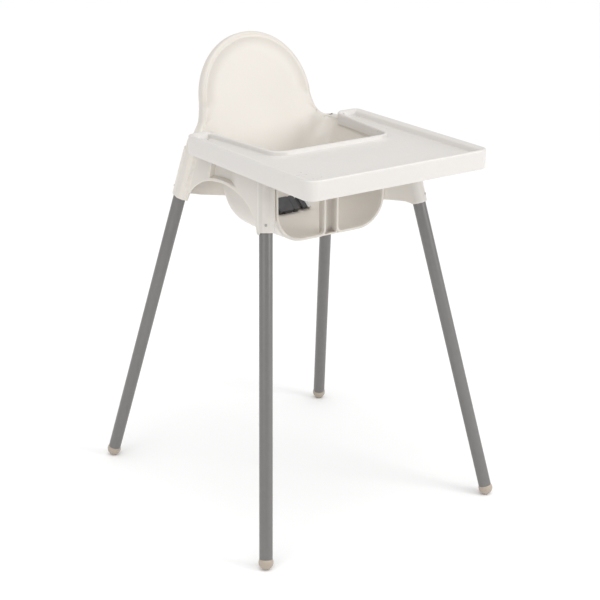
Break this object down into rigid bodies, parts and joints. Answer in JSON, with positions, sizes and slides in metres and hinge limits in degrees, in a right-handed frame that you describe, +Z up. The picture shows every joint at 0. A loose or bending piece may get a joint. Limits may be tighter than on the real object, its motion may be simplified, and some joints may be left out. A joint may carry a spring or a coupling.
{
  "type": "high chair",
  "caption": "High chair for a baby: moulded bucket seat with leg holes, lift-off tray, splayed tube legs that snap into sockets, and a lap belt.",
  "frame": {"origin": "on the floor, below the centre of the whole chair's box", "axes": "+Z up, -Y the way the child faces, +X to the right of a viewer who faces the tray"},
  "size_m": [0.564, 0.647, 0.9],
  "materials": {
    "shell_plastic": "satin moulded polypropylene",
    "tray_plastic": "satin moulded polypropylene, cooler white",
    "leg_paint": "grey powder coat",
    "foot_plastic": "satin",
    "button_steel": "zinc plated",
    "webbing": "woven polypropylene",
    "label_cloth": "printed satin ribbon, blank",
    "buckle_plastic": "fine texture"
  },
  "bodies": {
    "seat": {"seat_shell": "shell_plastic", "leg_front_left": "leg_paint", "foot_front_left": "foot_plastic", "button_spring_front_left": "button_steel", "leg_front_right": "leg_paint", "foot_front_right": "foot_plastic", "button_spring_front_right": "button_steel", "leg_rear_left": "leg_paint", "foot_rear_left": "foot_plastic", "button_spring_rear_left": "button_steel", "leg_rear_right": "leg_paint", "foot_rear_right": "foot_plastic", "button_spring_rear_right": "button_steel", "lap_strap_left": "webbing", "lap_strap_right": "webbing", "strap_anchor_left": "buckle_plastic", "strap_anchor_right": "buckle_plastic", "buckle_housing": "buckle_plastic", "buckle_tongue": "buckle_plastic", "care_label": "label_cloth"},
    "tray": {"tray": "tray_plastic"},
    "snap_button_front_left": {"snap_button_front_left": "button_steel"},
    "snap_button_front_right": {"snap_button_front_right": "button_steel"},
    "snap_button_rear_left": {"snap_button_rear_left": "button_steel"},
    "snap_button_rear_right": {"snap_button_rear_right": "button_steel"},
    "buckle_prong_upper": {"buckle_prong_upper": "buckle_plastic"},
    "buckle_prong_lower": {"buckle_prong_lower": "buckle_plastic"},
    "strap_keeper": {"strap_keeper": "buckle_plastic"}
  },
  "joints": [
    {"name": "tray_lift", "type": "slide", "parent": "seat", "child": "tray", "axis": [0, 0, 1], "range_m": [0, 0.15]},
    {"name": "button_press_front_left", "type": "slide", "parent": "seat", "child": "snap_button_front_left", "axis": [0.5319, 0.8066, -0.2579], "range_m": [0, 0.0048], "stiffness_N_per_m": 700, "springref_m": -0.002, "deforming": ["button_spring_front_left"]},
    {"name": "button_press_front_right", "type": "slide", "parent": "seat", "child": "snap_button_front_right", "axis": [-0.5319, 0.8066, -0.2579], "range_m": [0, 0.0048], "stiffness_N_per_m": 700, "springref_m": -0.002, "deforming": ["button_spring_front_right"]},
    {"name": "button_press_rear_left", "type": "slide", "parent": "seat", "child": "snap_button_rear_left", "axis": [0.5323, -0.7939, -0.294], "range_m": [0, 0.0048], "stiffness_N_per_m": 700, "springref_m": -0.002, "deforming": ["button_spring_rear_left"]},
    {"name": "button_press_rear_right", "type": "slide", "parent": "seat", "child": "snap_button_rear_right", "axis": [-0.5323, -0.7939, -0.294], "range_m": [0, 0.0048], "stiffness_N_per_m": 700, "springref_m": -0.002, "deforming": ["button_spring_rear_right"]},
    {"name": "prong_squeeze_upper", "type": "hinge", "parent": "seat", "child": "buckle_prong_upper", "pos_m": [0.023, 0.07629, 0.57555], "axis": [0, -0.5969, 0.8023], "range_deg": [0, 8], "stiffness_Nm_per_rad": 0.05, "springref_deg": -2.86},
    {"name": "prong_squeeze_lower", "type": "hinge", "parent": "seat", "child": "buckle_prong_lower", "pos_m": [0.023, 0.05575, 0.56027], "axis": [0, 0.5969, -0.8023], "range_deg": [0, 8], "stiffness_Nm_per_rad": 0.05, "springref_deg": -2.86},
    {"name": "keeper_slide", "type": "slide", "parent": "seat", "child": "strap_keeper", "axis": [1, 0, 0], "range_m": [-0.007, 0.001]}
  ]
}
